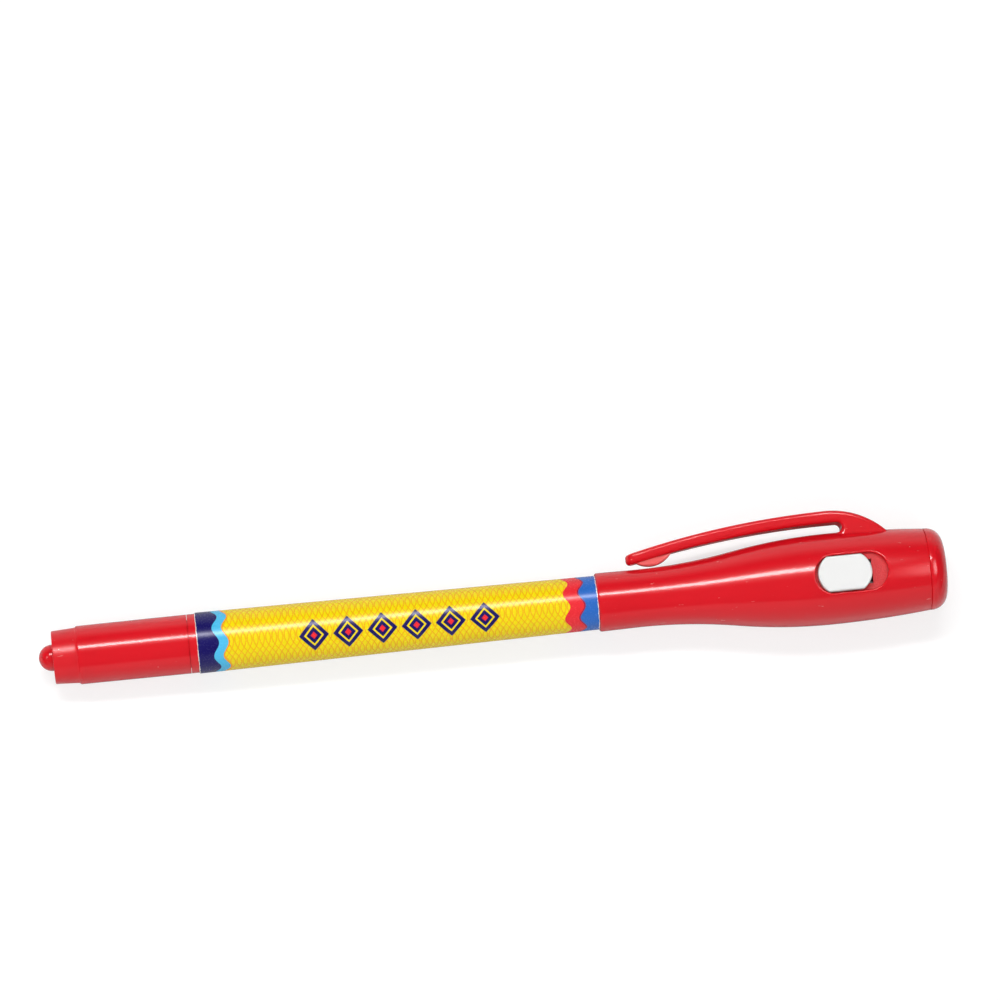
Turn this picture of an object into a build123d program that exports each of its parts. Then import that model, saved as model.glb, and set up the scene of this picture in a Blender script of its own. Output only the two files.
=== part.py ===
from build123d import *
from math import cos, degrees, dist, hypot, isclose, pi, sin, sqrt
import os

os.makedirs("parts", exist_ok=True)

# A pen for ink that only shows under ultraviolet light, with the lamp in its head.
# Millimetres. X runs along the pen from the nib cap to the lamp, the pocket clip stands
# out along +Y and the switch looks up along +Z. The origin is on the pen's axis, halfway
# along the label, where a hand or a pen loop holds it.

# Fits, as gaps between faces
running_gap = 0.05
press_gap = 0.02
seam_gap = 0.05
edge_round = 0.15

# Barrel
barrel_front_radius = 4.31
barrel_rear_radius = 3.80
barrel_wall = 0.85
barrel_floor = 2.0
collar_length = 1.15
neck_wall = 0.55
neck_length = 7.8
bead_height = 0.06
bead_length = 0.9
bead_offset = 2.4
socket_depth = 0.8
spigot_step = 0.40
spigot_wall = 0.8
spigot_length = 9.0

# Label
label_length = 58.65
label_paper = 0.13
label_glue = 0.02
label_lap = 2.2
label_lap_angle = 252

# Nib cap
cap_length = 19.8
cap_wall = 0.66
cap_mouth_edge = 0.05
nose_length = 3.6
nose_rim_radius = 3.87
nose_root_radius = 4.03
nose_wall = 0.75
nose_step = 0.09
nose_fillet = 0.45
dome_radius = 1.92
dome_reach = 2.1
seal_wall = 0.6
seal_cone = 0.9
vent_rib_count = 4
vent_rib_width = 0.9
vent_rib_length = 4.2
vent_rib_recess = 3.1

# Nib, its section and the reservoir
nib_radius = 0.85
nib_tip_radius = 0.45
nib_taper = 2.2
nib_reach = 4.8
nib_tail = 4.0
section_flange = 1.0
section_plug = 4.0
section_cone = 1.5
section_nose_radius = 1.9
section_nose_length = 2.4
section_nose_chamfer = 0.6
reservoir_length = 58.6
reservoir_setback = 1.0
reservoir_end_gap = 1.2
film_thickness = 0.10

# Head shell
head_length = 48.6
head_mouth_wall = 0.45
head_mouth_round = 0.30
head_neck_wall = 0.80
head_wall = 2.05
head_end_wall = 1.37
waist_distance = 6.2
crest_setback = 14.4

# Pocket clip, in one piece with the head
clip_length = 29.7
clip_crest_setback = 14.1
clip_gap = 1.37
clip_gap_reach = 1.5
clip_thickness = 1.79
clip_tip_thickness = 1.62
clip_bow_radius = 129.0
clip_root_radius = 12.0
clip_root_width = 5.3
clip_tip_width = 2.8
clip_face_round = 0.5
clip_under_round = 0.6
clip_root_sink = 1.0
clip_bump_offset = 3.6
clip_bump_length = 5.2
clip_bump_gap = 0.25
clip_bump_width = 1.6
clip_bump_round = 0.3

# Switch window and slider
window_width = 5.5
window_setback = 6.2
window_floor = 0.60
window_round = 0.18
button_length = 7.9
button_side_gap = 0.20
button_end_gap = 0.44
button_corner_gap = 0.15
button_proud = 0.12
button_round = 0.25
switch_travel = 1.95
stem_length = 4.05
stem_width = 3.4
stem_split = 1.8
stem_foot = 1.15
slot_side_gap = 0.08
barb_reach = 0.42
barb_height = 0.7
barb_drop = 0.18

# Button cells and their holder
cell_radius = 3.95
cell_height = 3.6
cell_count = 3
cell_skin = 0.22
cell_step = 0.32
cell_crimp = 0.55
cell_seal = 0.25
holder_wall = 0.58
holder_end = 0.8
holder_ledge = 0.6
holder_ledge_radius = 2.0
holder_mouth_depth = 2.2

# Lamp and its bezel
bezel_length = 2.6
bezel_corner = 2.3
bezel_flare = 0.7
led_radius = 2.5
led_length = 8.6
led_flange_radius = 2.9
led_flange = 1.0
led_recess = 0.3
lead_width = 0.5
lead_pitch = 2.54
lead_post = 3.2
led_cup_radius = 0.95
led_cup_depth = 0.45

# Spring, contacts and strips of thin metal
spring_length = 2.5
spring_wire = 0.35
spring_base_radius = 3.1
spring_top_radius = 1.9
spring_turns = 3
strip_thickness = 0.25
strip_width = 1.6
strip_edge = 4.5
contact_radius = 2.4
contact_gap = 0.03
bridge_length = 1.8
bridge_width = 3.1
pad_width = 0.7
pad_length = 4.1

# Places along the axis
x_label_front = -label_length / 2
x_label_rear = label_length / 2
x_shoulder = x_label_front - collar_length
x_cap_mouth = x_shoulder - seam_gap
x_rim = x_cap_mouth - cap_length
x_dome = x_rim - dome_reach
x_neck = x_shoulder - neck_length
x_reservoir = x_neck + section_plug + reservoir_setback
x_mouth = x_label_rear + seam_gap
x_socket = x_mouth + socket_depth
x_seam = x_mouth + head_length
x_end = x_seam + bezel_length
x_waist = x_mouth + waist_distance
x_crest = x_seam - crest_setback

# Radii that follow from the sizes above
barrel_bore = barrel_rear_radius - barrel_wall
neck_radius = barrel_bore + neck_wall
cap_bore = neck_radius + bead_height + running_gap
spigot_radius = barrel_rear_radius - spigot_step
head_neck_bore = spigot_radius + press_gap
holder_bore = cell_radius + running_gap
holder_radius = holder_bore + holder_wall
head_bore = holder_radius + running_gap
waist_radius = head_neck_bore + head_neck_wall
crest_radius = head_bore + head_wall
seam_radius = head_bore + head_end_wall
nose_bore = nose_rim_radius - nose_wall

# Switch, from the window it slides in
window_length = button_length + switch_travel + 2 * button_end_gap
x_window = x_seam - window_setback - window_length / 2
x_button = x_window - window_length / 2 + button_end_gap + button_length / 2
x_stem_front = x_button - stem_length / 2
x_stem_rear = x_button + stem_length / 2
z_floor = head_bore + window_floor
z_button_top = crest_radius + button_proud
button_width = window_width - 2 * button_side_gap
slot_half = stem_width / 2 + slot_side_gap
z_foot = head_bore - stem_foot - barb_drop
z_bridge = z_foot - strip_thickness
z_pad = z_bridge - contact_gap

# Lamp and cells, stacked from the end of the pen and from the switch stem
x_led_tip = x_end - led_recess
x_led_base = x_led_tip - led_length
x_contact = x_stem_front - running_gap - strip_thickness
x_cells_rear = x_contact - seam_gap
x_cells_front = x_cells_rear - cell_count * cell_height
x_spring_front = x_cells_front - spring_length
x_tab = x_spring_front - strip_thickness
x_holder_front = x_tab - holder_end
x_holder_rear = x_led_base - seam_gap
x_head_bore = x_holder_front - seam_gap


def barrel_radius(x):
    """Radius of the barrel's drafted outside."""
    fall = (barrel_front_radius - barrel_rear_radius) / label_length
    return barrel_front_radius - fall * (x - x_label_front)


def skin_radius(x):
    """Radius of the head's outside along its flare, which is two equal arcs."""
    run = x_crest - x_waist
    rise = crest_radius - waist_radius
    bend = (run**2 + rise**2) / (4 * rise)
    if x < x_waist:
        return waist_radius
    if x < x_waist + run / 2:
        return waist_radius + bend - sqrt(bend**2 - (x - x_waist) ** 2)
    return crest_radius - bend + sqrt(bend**2 - (x_crest - x) ** 2)


def turned(*edges):
    """Solid turned about the pen's axis from edges that close an outline in the XY plane."""
    return revolve(make_face(edges), Axis.X)


def turned_points(*points):
    """Solid turned from straight runs between points (x, radius)."""
    return turned(*Polyline(*points, close=True).edges())


def tube(x_from, x_to, outer, inner):
    """Straight tube along the axis."""
    ring = Circle(outer) - Circle(inner)
    return extrude(Plane.YZ.offset(x_from) * ring, x_to - x_from)


def rod(x_from, x_to, radius):
    """Straight round bar along the axis."""
    return extrude(Plane.YZ.offset(x_from) * Circle(radius), x_to - x_from)


def bar(xs, ys, zs):
    """Block between pairs of limits on X, Y and Z."""
    size = [high - low for low, high in (xs, ys, zs)]
    middle = [(low + high) / 2 for low, high in (xs, ys, zs)]
    return Pos(*middle) * Box(*size)


def grown(limits, gap):
    """Limits of a block widened all round by a gap."""
    return [(low - gap, high + gap) for low, high in limits]


def save(node, solid):
    solid.label = node
    export_step(solid, f"parts/{node}.step")


# Barrel: drafted tube with a closed rear, a push-fit neck for the cap and a spigot for the head
def barrel():
    neck_bead = x_shoulder - bead_offset
    bead_from = (neck_bead - bead_length / 2, neck_radius)
    bead_top = (neck_bead, neck_radius + bead_height)
    bead_to = (neck_bead + bead_length / 2, neck_radius)
    x_floor = x_reservoir + reservoir_length + reservoir_end_gap
    x_spigot_end = x_socket + spigot_length
    spigot_bore = spigot_radius - spigot_wall
    collar = barrel_radius(x_shoulder)
    runs = [
        Line((x_neck, barrel_bore), (x_neck, neck_radius)),
        Line((x_neck, neck_radius), bead_from),
        ThreePointArc(bead_from, bead_top, bead_to),
        *Polyline(
            bead_to,
            (x_shoulder, neck_radius),
            (x_shoulder, collar - cap_mouth_edge),
            (x_shoulder + cap_mouth_edge / 2, collar),
            (x_socket, barrel_radius(x_socket)),
            (x_socket, spigot_radius),
            (x_spigot_end - edge_round, spigot_radius),
            (x_spigot_end, spigot_radius - edge_round),
            (x_spigot_end, spigot_bore),
            (x_floor + barrel_floor, spigot_bore),
            (x_floor + barrel_floor, 0),
            (x_floor, 0),
            (x_floor, barrel_bore),
            (x_neck, barrel_bore),
        ).edges(),
    ]
    return turned(*runs)


# Label: paper wrapped once round the barrel, its free edge lapped over the start
def label_layer(first_layer):
    lift = label_glue + (0 if first_layer else label_paper)
    front = barrel_radius(x_label_front) + lift
    rear = barrel_radius(x_label_rear) + lift
    outline = Polyline(
        (x_label_front, front),
        (x_label_rear, rear),
        (x_label_rear, rear + label_paper),
        (x_label_front, front + label_paper),
        close=True,
    )
    return make_face(outline.edges())


def barrel_label():
    lap_arc = degrees(label_lap / barrel_front_radius)
    wrap = revolve(label_layer(True), Axis.X)
    lap = revolve(label_layer(False), Axis.X, revolution_arc=lap_arc)
    return wrap + Rot(X=label_lap_angle) * lap


# Nib cap: outer sleeve with a stepped nose, and a domed seal tube held in it by vent ribs
x_seal_mouth = x_neck - section_flange - section_cone - seam_gap
x_seal_cone = x_seal_mouth - section_nose_length + section_nose_chamfer
seal_bore = section_nose_radius + running_gap
dome_bore = dome_radius - seal_wall
x_rib_front = x_rim + vent_rib_recess
x_rib_rear = x_rib_front + vent_rib_length


def cap_sleeve():
    x_step = x_rim + nose_length
    rim_edge = (x_rim, nose_rim_radius - edge_round)
    rim_side = (x_rim + edge_round, nose_rim_radius)
    fillet_from = (x_step - nose_fillet, nose_root_radius)
    fillet_to = (x_step, nose_root_radius + nose_step)
    step_top = cap_bore + cap_wall
    mouth_top = barrel_radius(x_shoulder)
    runs = [
        Line((x_rim, nose_bore), rim_edge),
        TangentArc(rim_edge, rim_side, tangent=(0, 1)),
        Line(rim_side, fillet_from),
        TangentArc(fillet_from, fillet_to, tangent=(1, 0)),
        *Polyline(
            fillet_to,
            (x_step, step_top - edge_round / 2),
            (x_step + edge_round, step_top),
            (x_cap_mouth - cap_mouth_edge / 2, mouth_top),
            (x_cap_mouth, mouth_top - cap_mouth_edge),
            (x_cap_mouth, cap_bore),
            (x_rib_rear, cap_bore),
            (x_rib_rear, nose_bore),
            (x_rim, nose_bore),
        ).edges(),
    ]
    return turned(*runs)


def seal_tube():
    x_round = x_dome + dome_radius
    seal_radius = seal_bore + seal_wall
    runs = [
        TangentArc((x_dome, 0), (x_round, dome_radius), tangent=(0, 1)),
        *Polyline(
            (x_round, dome_radius),
            (x_seal_cone - seal_cone, dome_radius),
            (x_seal_cone, seal_radius),
            (x_seal_mouth, seal_radius),
            (x_seal_mouth, seal_bore),
            (x_seal_cone, seal_bore),
            (x_seal_cone - seal_cone, dome_bore),
            (x_round, dome_bore),
        ).edges(),
        TangentArc((x_round, dome_bore), (x_round - dome_bore, 0), tangent=(-1, 0)),
        Line((x_round - dome_bore, 0), (x_dome, 0)),
    ]
    return turned(*runs)


def nib_cap():
    rib_from = dome_radius - seal_wall / 2
    rib_to = nose_bore + nose_wall / 2
    half = vent_rib_width / 2
    rib = bar((x_rib_front, x_rib_rear), (-half, half), (rib_from, rib_to))
    cap = cap_sleeve() + seal_tube()
    for turn in range(vent_rib_count):
        cap += Rot(X=45 + turn * 360 / vent_rib_count) * rib
    return cap


# Nib section: plug in the neck, flange on its end and a nose that the cap's tube seals on
x_flange = x_neck - section_flange
x_cone = x_flange - section_cone
x_nose = x_cone - section_nose_length
nib_bore = nib_radius + press_gap


def nib_section():
    plug_radius = barrel_bore - press_gap
    return turned_points(
        (x_nose, nib_bore),
        (x_nose, section_nose_radius - section_nose_chamfer),
        (x_nose + section_nose_chamfer, section_nose_radius),
        (x_cone, section_nose_radius),
        (x_flange, neck_radius - edge_round),
        (x_neck, neck_radius),
        (x_neck, plug_radius),
        (x_neck + section_plug, plug_radius),
        (x_neck + section_plug, nib_bore),
    )


# Fibre nib: bullet point in front, its tail pushed into the reservoir
def nib():
    x_tip = x_nose - nib_reach
    tip_side = (x_tip + nib_tip_radius, nib_tip_radius)
    x_tail = x_reservoir + nib_tail
    runs = [
        TangentArc((x_tip, 0), tip_side, tangent=(0, 1)),
        *Polyline(
            tip_side,
            (x_tip + nib_taper, nib_radius),
            (x_tail, nib_radius),
            (x_tail, 0),
            (x_tip, 0),
        ).edges(),
    ]
    return turned(*runs)


# Ink reservoir: fibre rod in a thin plastic film, with a hole for the nib
film_radius = barrel_bore - running_gap


def ink_reservoir():
    core = film_radius - film_thickness - press_gap
    hole_end = x_reservoir + nib_tail + seam_gap
    return rod(x_reservoir, x_reservoir + reservoir_length, core) - rod(x_reservoir, hole_end, nib_bore)


def reservoir_film():
    x_to = x_reservoir + reservoir_length
    return tube(x_reservoir, x_to, film_radius, film_radius - film_thickness)


# Pocket clip: bowed arm in profile, narrowed in plan towards its tip, with a grip bump
x_clip_crest = x_seam - clip_crest_setback
x_clip_tip = x_clip_crest - clip_length
clip_crest = crest_radius + clip_gap + clip_thickness
bow_centre = clip_crest - clip_bow_radius
root_centre = clip_crest - clip_root_radius


def bow_height(x):
    """Height of the arm's bowed outer face over the axis."""
    return bow_centre + sqrt(clip_bow_radius**2 - (x - x_clip_crest) ** 2)


under_crest_height = clip_crest - clip_thickness
under_drop = under_crest_height - bow_height(x_clip_tip) + clip_tip_thickness
under_radius = (clip_length**2 + under_drop**2) / (2 * under_drop)
under_centre = under_crest_height - under_radius


def under_height(x):
    """Height of the arm's under face, which bows more so that the arm thins to its tip."""
    return under_centre + sqrt(under_radius**2 - (x - x_clip_crest) ** 2)


def clip_arm():
    sink = crest_radius - clip_root_sink
    x_root_end = x_clip_crest + sqrt(clip_root_radius**2 - (sink - root_centre) ** 2)
    x_root_mid = x_clip_crest + clip_root_radius * sin(pi / 8)
    root_mid = (x_root_mid, root_centre + clip_root_radius * cos(pi / 8))
    x_gap_end = x_clip_crest + clip_gap_reach
    under_crest = (x_clip_crest, under_crest_height)
    gap_top = (x_gap_end, under_crest_height)
    gap_end = (x_gap_end, crest_radius - edge_round)
    tip_top = (x_clip_tip, bow_height(x_clip_tip))
    tip_under = (x_clip_tip, under_height(x_clip_tip))
    x_middle = (x_clip_tip + x_clip_crest) / 2
    side = [
        ThreePointArc(tip_top, (x_middle, bow_height(x_middle)), (x_clip_crest, clip_crest)),
        ThreePointArc((x_clip_crest, clip_crest), root_mid, (x_root_end, sink)),
        Line((x_root_end, sink), (x_gap_end, sink)),
        Line((x_gap_end, sink), gap_end),
        TangentArc(gap_end, gap_top, tangent=(1, 0)),
        Line(gap_top, under_crest),
        ThreePointArc(under_crest, (x_middle, under_height(x_middle)), tip_under),
        Line(tip_under, tip_top),
    ]
    arm = extrude(make_face(side), clip_root_width / 2, both=True)
    root_half = clip_root_width / 2
    tip_half = clip_tip_width / 2
    x_round = x_clip_tip + tip_half
    plan = [
        Line((x_root_end, -root_half), (x_root_end, root_half)),
        Line((x_root_end, root_half), (x_round, tip_half)),
        ThreePointArc((x_round, tip_half), (x_clip_tip, 0), (x_round, -tip_half)),
        Line((x_round, -tip_half), (x_root_end, -root_half)),
    ]
    arm = arm & extrude(Plane.XZ * make_face(plan), -2 * clip_crest)
    face_edges = [e for e in arm.edges() if on_outer_face(e)]
    arm = fillet(face_edges, clip_face_round)
    under_edges = [e for e in arm.edges() if on_under_face(e)]
    return fillet(under_edges, clip_under_round)


def on_outer_face(edge):
    """True for the rim of the clip's outer face, over the bow and round the root."""
    spots = [edge @ 0.25, edge @ 0.75]
    bow = [hypot(p.X - x_clip_crest, p.Y - bow_centre) - clip_bow_radius for p in spots]
    root = [hypot(p.X - x_clip_crest, p.Y - root_centre) - clip_root_radius for p in spots]
    on_bow = all(abs(d) < 1e-4 for d in bow)
    on_root = all(abs(d) < 1e-4 for d in root) and spots[0].X > x_clip_crest
    across = isclose(spots[0].X, spots[1].X, abs_tol=1e-6)
    return (on_bow or on_root) and not across


def on_under_face(edge):
    """True for the rim of the arm's under face."""
    spots = [edge @ 0.25, edge @ 0.75]
    bow = [hypot(p.X - x_clip_crest, p.Y - under_centre) - under_radius for p in spots]
    across = isclose(spots[0].X, spots[1].X, abs_tol=1e-6)
    return all(abs(d) < 1e-4 for d in bow) and not across


def clip_bump():
    """Part of a round-edged disc that stands out of the arm's under face."""
    x_bump = x_clip_tip + clip_bump_offset
    low = skin_radius(x_bump) + clip_bump_gap
    rise = under_height(x_bump) - low
    half = clip_bump_length / 2
    radius = (half**2 + rise**2) / (2 * rise)
    side = clip_bump_width / 2
    disc = extrude(Pos(x_bump, low + radius) * Circle(radius), side, both=True)
    disc = fillet(disc.edges().filter_by(GeomType.CIRCLE), clip_bump_round)
    inside = (under_height(x_bump) + bow_height(x_bump)) / 2
    return disc & bar((x_bump - radius, x_bump + radius), (0, inside), (-side, side))


# Head shell: flared moulding with the clip, a pocket for the switch and a bore for the holder
def head_skin():
    mouth_radius = barrel_rear_radius + running_gap + head_mouth_wall
    lip = (x_mouth, mouth_radius - head_mouth_round)
    lip_side = (x_mouth + head_mouth_round, mouth_radius)
    waist = (x_waist, waist_radius)
    crest = (x_crest, crest_radius)
    flare_middle = ((x_waist + x_crest) / 2, (waist_radius + crest_radius) / 2)
    hollow = TangentArc(waist, flare_middle, tangent=(1, 0))
    seam = (x_seam - edge_round / 2, seam_radius)
    runs = [
        Line((x_mouth, 0), lip),
        TangentArc(lip, lip_side, tangent=(0, 1)),
        Line(lip_side, waist),
        hollow,
        TangentArc(flare_middle, crest, tangent=hollow % 1),
        TangentArc(crest, seam, tangent=(1, 0)),
        Line(seam, (x_seam, seam_radius - edge_round)),
        Line((x_seam, seam_radius - edge_round), (x_seam, 0)),
        Line((x_seam, 0), (x_mouth, 0)),
    ]
    return turned(*runs)


def on_window_rim(edge):
    """True for the edges where the switch pocket breaks the head's outside."""
    half_straight = (window_length - window_width) / 2
    spots = [edge @ 0.25, edge @ 0.75]
    along = [max(abs(p.X - x_window) - half_straight, 0) for p in spots]
    on_wall = all(isclose(hypot(a, p.Y), window_width / 2, abs_tol=1e-4) for a, p in zip(along, spots))
    above = all(p.Z > z_floor + 1e-3 for p in spots)
    upright = isclose(spots[0].X, spots[1].X, abs_tol=1e-6) and isclose(spots[0].Y, spots[1].Y, abs_tol=1e-6)
    return on_wall and above and not upright


def head_shell():
    head = head_skin() + clip_arm() + clip_bump()
    head -= rod(x_mouth, x_socket, barrel_rear_radius + running_gap)
    head -= rod(x_socket, x_head_bore, head_neck_bore)
    head -= rod(x_head_bore, x_seam, head_bore)
    pocket = Plane.XY.offset(z_floor) * Pos(x_window, 0) * SlotOverall(window_length, window_width)
    head -= extrude(pocket, crest_radius)
    rim = [e for e in head.edges() if on_window_rim(e)]
    head = fillet(rim, window_round)
    x_slot_rear = x_stem_rear + switch_travel + slot_side_gap
    slot = ((x_stem_front - slot_side_gap, x_slot_rear), (-slot_half, slot_half), (0, z_button_top))
    return head - bar(*slot)


# Switch slider: flat button with bowed ends on a split stem that snaps under the pocket floor
def switch_slider():
    half = button_length / 2
    side = button_width / 2
    window_end = window_width / 2
    window_bulge = window_end - sqrt(window_end**2 - side**2)
    corner = half - window_bulge + button_end_gap - button_corner_gap
    outline = [
        Line((-corner, side), (corner, side)),
        ThreePointArc((corner, side), (half, 0), (corner, -side)),
        Line((corner, -side), (-corner, -side)),
        ThreePointArc((-corner, -side), (-half, 0), (-corner, side)),
    ]
    z_under = z_floor + running_gap
    face = Plane.XY.offset(z_under) * Pos(x_button, 0) * make_face(outline)
    slider = extrude(face, z_button_top - z_under)
    slider = fillet(slider.faces().sort_by(Axis.Z)[-1].edges(), button_round)
    xs = (x_stem_front, x_stem_rear)
    for way in (-1, 1):
        outside = way * stem_width / 2
        inside = way * stem_split / 2
        leg = bar(xs, sorted((inside, outside)), (z_foot, z_under))
        slider += leg + barb(outside, way)
    return slider


def barb(y_leg, way):
    """Wedge on the outside of a stem leg, under the curved inside of the head."""
    y_out = y_leg + way * barb_reach
    z_top = sqrt(head_bore**2 - y_out**2) - barb_drop
    wedge = Polyline((y_leg, z_top), (y_out, z_top), (y_leg, z_top - barb_height), close=True)
    section = Plane.YZ.offset(x_stem_front) * make_face(wedge.edges())
    return extrude(section, stem_length)


def switch_contact():
    half = bridge_length / 2
    limits = ((x_button - half, x_button + half), (-bridge_width / 2, bridge_width / 2), (z_bridge, z_foot))
    return bar(*limits)


# Button cells: steel can with a crimped rim, seal ring and cap, the cap towards the spring
def cell_can(x_front):
    x_rear = x_front + cell_height
    x_crimp = x_front + cell_step
    inner = cell_radius - cell_skin
    crimped = cell_radius - cell_crimp
    return turned_points(
        (x_rear, 0),
        (x_rear, cell_radius - cell_skin),
        (x_rear - cell_skin, cell_radius),
        (x_crimp + cell_skin, cell_radius),
        (x_crimp, cell_radius - cell_skin),
        (x_crimp, crimped),
        (x_crimp + cell_skin, crimped),
        (x_crimp + cell_skin, inner),
        (x_rear - cell_skin, inner),
        (x_rear - cell_skin, 0),
    )


def cell_seal_ring(x_front):
    x_crimp = x_front + cell_step
    outer = cell_radius - cell_skin - press_gap
    rim = cell_radius - cell_crimp - press_gap
    inner = rim - cell_seal
    x_under = x_crimp + cell_skin + press_gap
    x_foot = x_front + cell_height - cell_skin - press_gap
    return turned_points(
        (x_crimp, inner),
        (x_crimp, rim),
        (x_under, rim),
        (x_under, outer),
        (x_foot, outer),
        (x_foot, outer - cell_seal),
        (x_foot - cell_seal, outer - cell_seal),
        (x_foot - cell_seal, inner),
    )


def cell_cap(x_front):
    outer = cell_radius - cell_crimp - cell_seal - 2 * press_gap
    x_foot = x_front + cell_height - 2 * cell_skin - cell_seal - press_gap
    return turned_points(
        (x_front, 0),
        (x_front, outer - cell_skin),
        (x_front + cell_skin, outer),
        (x_foot, outer),
        (x_foot, outer - cell_skin),
        (x_front + cell_skin, outer - cell_skin),
        (x_front + cell_skin, 0),
    )


# Battery spring: cone of wire between the return strip and the first cell
def spring_point(turns):
    share = turns / spring_turns
    radius = spring_base_radius + (spring_top_radius - spring_base_radius) * share
    rise = spring_length - spring_wire - 2 * press_gap
    angle = 2 * pi * turns
    x_start = x_spring_front + spring_wire / 2 + press_gap
    return Vector(x_start + rise * share, radius * cos(angle), radius * sin(angle))


def spring_direction(turns):
    step = 1e-4
    return (spring_point(turns + step) - spring_point(turns - step)).normalized()


def joined_arcs(start, leave, finish, arrive):
    """Two arcs that meet smoothly between two points with given directions."""
    span = finish - start
    both = leave + arrive
    spread = 2 * (1 - leave.dot(arrive))
    along = span.dot(both)
    reach = (sqrt(along**2 + spread * span.dot(span)) - along) / spread
    middle = (start + leave * reach + finish - arrive * reach) / 2
    first = TangentArc(start, middle, tangent=leave)
    return [first, TangentArc(middle, finish, tangent=first % 1)]


def battery_spring():
    steps = [turn / 2 for turn in range(2 * spring_turns + 1)]
    arcs = []
    for here, there in zip(steps, steps[1:]):
        ends = (spring_point(here), spring_direction(here), spring_point(there), spring_direction(there))
        arcs += joined_arcs(*ends)
    path = Wire(arcs)
    section = Plane(origin=path @ 0, z_dir=path % 0) * Circle(spring_wire / 2)
    return sweep(section, path=path)


# Return strip: from a plate under the spring, along a groove, then up to the switch
strip_side = (-strip_edge, -strip_edge + strip_thickness)
strip_height = (-strip_width / 2, strip_width / 2)
x_strip_end = x_button + strip_width / 2
strip_turn = (x_strip_end - strip_width, x_strip_end)
pad_inside = -bridge_width / 2 + pad_width
pad_outside = -stem_width / 2 - barb_reach - strip_thickness
strip_riser = (pad_outside - strip_thickness, pad_outside)
strip_shelf = (strip_height[1] - strip_thickness, strip_height[1])
pad_height = (z_pad - strip_thickness, z_pad)


def strip_runs():
    """Straight runs of the strip as blocks: spring plate, groove run, shelf, riser and pad."""
    return [
        ((x_tab, x_spring_front), (-strip_edge, spring_top_radius), strip_height),
        ((x_tab, x_strip_end), strip_side, strip_height),
        (strip_turn, (-strip_edge, pad_outside), strip_shelf),
        (strip_turn, strip_riser, (strip_shelf[0], z_pad)),
        (strip_turn, (strip_riser[0], pad_inside), pad_height),
        ((strip_turn[0], strip_turn[0] + pad_length), (pad_inside - pad_width, pad_inside), pad_height),
    ]


def return_strip():
    blocks = [bar(*run) for run in strip_runs()]
    return blocks[0].fuse(*blocks[1:])


# Positive contact: plate against the last cell with a tab under the lamp's anode lead
anode_side = (-lead_pitch / 2 - lead_width / 2, -lead_pitch / 2 + lead_width / 2)
cathode_side = (lead_pitch / 2 - lead_width / 2, lead_pitch / 2 + lead_width / 2)
lead_height = (-lead_width / 2, lead_width / 2)


def positive_contact():
    plate = rod(x_contact, x_contact + strip_thickness, contact_radius)
    tab = ((x_contact, x_button), anode_side, (-lead_width / 2 - strip_thickness, -lead_width / 2))
    return plate + bar(*tab)


# Lamp: two leads, one with the cup that holds the chip, cast into a clear lens
x_cup = x_led_base + lead_post


def led_anode_lead():
    return bar((x_contact + strip_thickness + seam_gap, x_cup), anode_side, lead_height)


def led_cathode_lead():
    x_pad_front = x_button + bridge_length / 2 + contact_gap + running_gap
    x_riser = (x_stem_rear + switch_travel, x_stem_rear + switch_travel + lead_width)
    post = bar((x_riser[0], x_cup), cathode_side, lead_height)
    riser = bar(x_riser, cathode_side, (lead_height[0], z_pad))
    pad = bar((x_pad_front, x_riser[1]), cathode_side, (z_pad - lead_width, z_pad))
    anvil = rod(x_cup, x_cup + 2 * led_cup_depth, led_cup_radius)
    bridge = bar((x_cup - lead_width, x_cup), (0, cathode_side[1]), lead_height)
    cup = turned_points(
        (x_cup + led_cup_depth, 0),
        (x_cup + led_cup_depth, led_cup_radius / 2),
        (x_cup + 2 * led_cup_depth, led_cup_radius - edge_round),
        (x_cup + 2 * led_cup_depth, 0),
    )
    return post + riser + pad + bridge + (anvil - cup)


def led_lens(leads):
    x_dome_start = x_led_tip - led_radius
    runs = [
        *Polyline(
            (x_led_base, 0),
            (x_led_base, led_flange_radius),
            (x_led_base + led_flange, led_flange_radius),
            (x_led_base + led_flange, led_radius),
            (x_dome_start, led_radius),
        ).edges(),
        TangentArc((x_dome_start, led_radius), (x_led_tip, 0), tangent=(1, 0)),
        Line((x_led_tip, 0), (x_led_base, 0)),
    ]
    lens = turned(*runs)
    for lead in leads:
        lens -= lead
    return lens


# End bezel: rounded ring pressed into the head, its sleeve holds the lamp's flange down
def end_bezel():
    hole = led_radius + running_gap
    sleeve = head_bore - press_gap
    x_sleeve = x_led_base + led_flange + seam_gap
    face_radius = seam_radius - bezel_corner
    x_corner = x_end - bezel_corner
    runs = [
        *Polyline(
            (x_sleeve, hole),
            (x_sleeve, sleeve),
            (x_seam, sleeve),
            (x_seam, seam_radius - edge_round),
            (x_seam + edge_round / 2, seam_radius),
            (x_corner, seam_radius),
        ).edges(),
        TangentArc((x_corner, seam_radius), (x_end, face_radius), tangent=(1, 0)),
        *Polyline(
            (x_end, face_radius),
            (x_end, hole + bezel_flare),
            (x_end - bezel_flare, hole),
            (x_sleeve, hole),
        ).edges(),
    ]
    return turned(*runs)


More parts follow.
